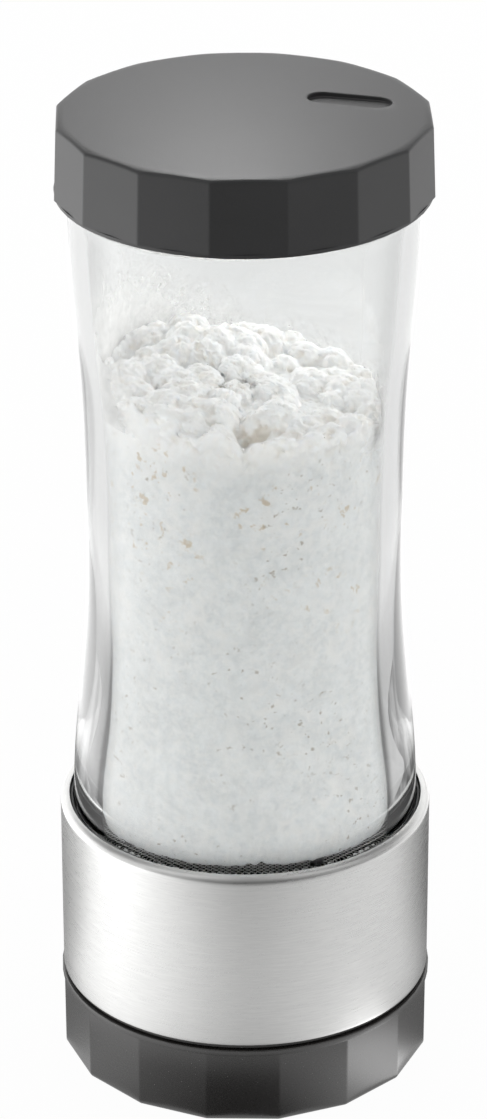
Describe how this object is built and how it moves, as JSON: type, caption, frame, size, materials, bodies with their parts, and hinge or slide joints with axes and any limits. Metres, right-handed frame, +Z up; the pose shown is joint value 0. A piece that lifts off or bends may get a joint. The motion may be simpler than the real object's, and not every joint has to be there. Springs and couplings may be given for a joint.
{
  "type": "icing sugar mill",
  "caption": "Hand-held icing-sugar mill: waisted glass jar with a faceted screw cap, a twist sleeve that turns an agitator over a sieve, and a pull-off base cap.",
  "frame": {"origin": "middle of the base cap's underside, on the table", "axes": "+Z up along the axis that everything turns about, front towards -Y"},
  "size_m": [0.0666, 0.0666, 0.1776],
  "materials": {
    "clear_glass": "polished clear pressed glass",
    "black_plastic": "black moulded plastic, satin",
    "silicone": "milky silicone",
    "wire_mesh": "woven stainless wire",
    "acetal": "natural acetal",
    "icing_sugar": "caked icing sugar",
    "brushed_steel": "stainless steel, brushed round the axis",
    "bright_steel": "turned stainless steel",
    "base_grey": "dark grey plastic, half gloss",
    "cap_grey": "dark grey plastic, fine matte texture"
  },
  "bodies": {
    "jar": {"glass_jar": "clear_glass", "jar_collar": "black_plastic", "foot_gasket": "silicone", "sieve_frame": "black_plastic", "sieve_mesh": "wire_mesh", "bearing_bush": "acetal", "sugar_fill": "icing_sugar"},
    "mill_head": {"steel_sleeve": "brushed_steel", "sleeve_core": "black_plastic", "glide_ring": "acetal", "drive_spider": "black_plastic", "drive_shaft": "bright_steel", "agitator": "acetal", "shaft_washer": "bright_steel", "shaft_screw": "bright_steel", "end_ring": "black_plastic", "base_seal": "silicone"},
    "base_cap": {"base_cap": "base_grey"},
    "cap_seal": {"top_seal": "silicone"},
    "top_cap": {"top_cap": "cap_grey", "cap_insert": "black_plastic"}
  },
  "joints": [
    {"name": "mill_turn", "type": "hinge", "parent": "jar", "child": "mill_head", "pos_m": [0, 0, 0.044], "axis": [0, 0, 1], "continuous": true},
    {"name": "base_pull", "type": "slide", "parent": "mill_head", "child": "base_cap", "axis": [0, 0, -1], "range_m": [0, 0.02]},
    {"name": "cap_lift", "type": "slide", "parent": "jar", "child": "cap_seal", "axis": [0, 0, 1], "range_m": [0, 0.0101]},
    {"name": "cap_turn", "type": "hinge", "parent": "cap_seal", "child": "top_cap", "pos_m": [0, 0, 0.168], "axis": [0, 0, 1], "range_deg": [0, 400]}
  ],
  "couplings": [
    {"joint": "cap_lift", "follows": "cap_turn", "m_per_rad": 0.0014324}
  ]
}
